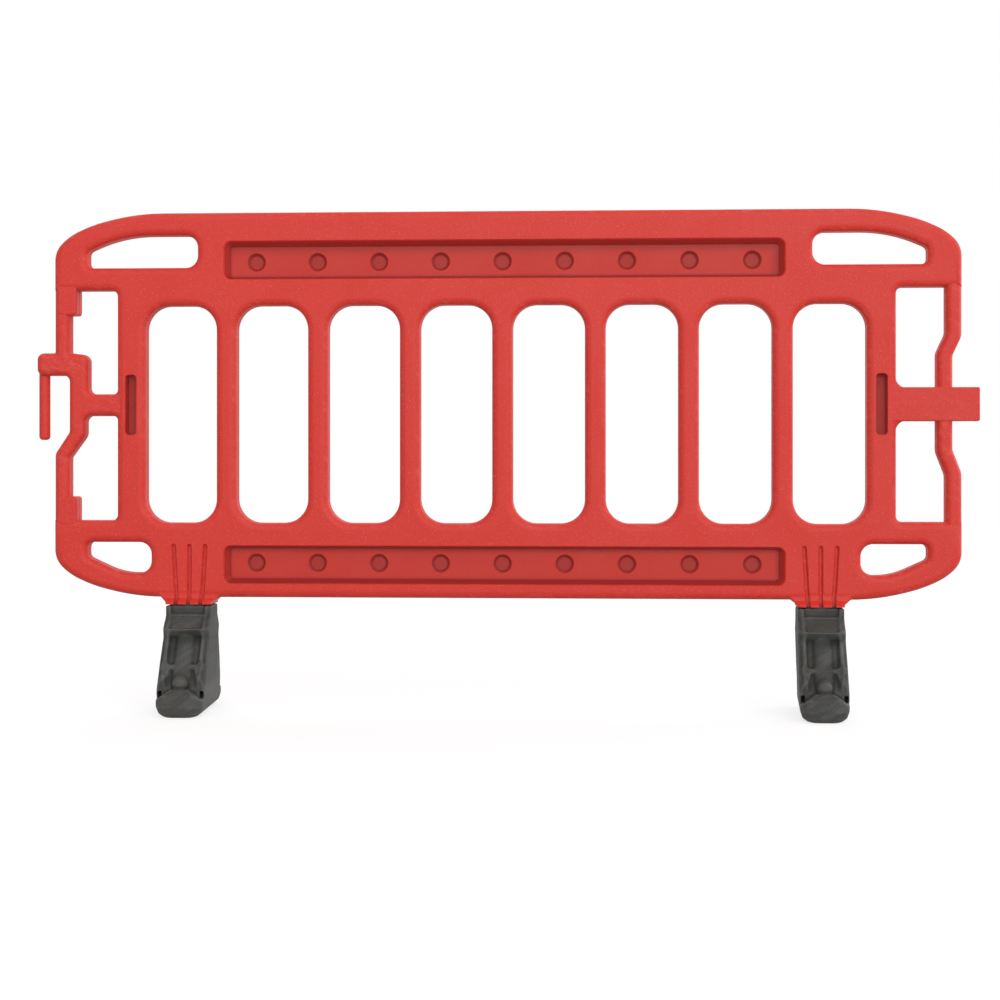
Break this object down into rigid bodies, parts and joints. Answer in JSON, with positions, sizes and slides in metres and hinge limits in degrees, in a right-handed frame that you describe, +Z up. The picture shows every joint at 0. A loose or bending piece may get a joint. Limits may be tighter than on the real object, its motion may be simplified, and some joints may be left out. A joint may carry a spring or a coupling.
{
  "type": "pedestrian barrier panel",
  "caption": "Moulded plastic pedestrian barrier panel with vertical slots, corner grips, a linking hook and eye, on swivelling feet.",
  "frame": {"origin": "on the ground, midway between the ends and in the panel's mid-plane", "axes": "+X along the panel from hook to eye, -Y out of the pictured face, +Z up"},
  "size_m": [2.038, 0.3, 1.083],
  "materials": {
    "panel_plastic": "matte",
    "foot_plastic": "matte",
    "washer_nylon": "satin",
    "zinc_steel": "satin",
    "insert_brass": "satin"
  },
  "bodies": {
    "panel": {"panel": "panel_plastic", "left_pivot_sleeve": "zinc_steel", "left_pivot_bolt": "zinc_steel", "left_head_washer": "zinc_steel", "left_threaded_insert": "insert_brass", "right_pivot_sleeve": "zinc_steel", "right_pivot_bolt": "zinc_steel", "right_head_washer": "zinc_steel", "right_threaded_insert": "insert_brass"},
    "left_foot": {"left_foot": "foot_plastic", "left_thrust_washer": "washer_nylon"},
    "right_foot": {"right_foot": "foot_plastic", "right_thrust_washer": "washer_nylon"}
  },
  "joints": [
    {"name": "left_foot_swivel", "type": "hinge", "parent": "panel", "child": "left_foot", "pos_m": [-0.68, 0, 0.23], "axis": [0, 0, 1], "range_deg": [-90, 90]},
    {"name": "right_foot_swivel", "type": "hinge", "parent": "panel", "child": "right_foot", "pos_m": [0.68, 0, 0.23], "axis": [0, 0, 1], "range_deg": [-90, 90]}
  ]
}
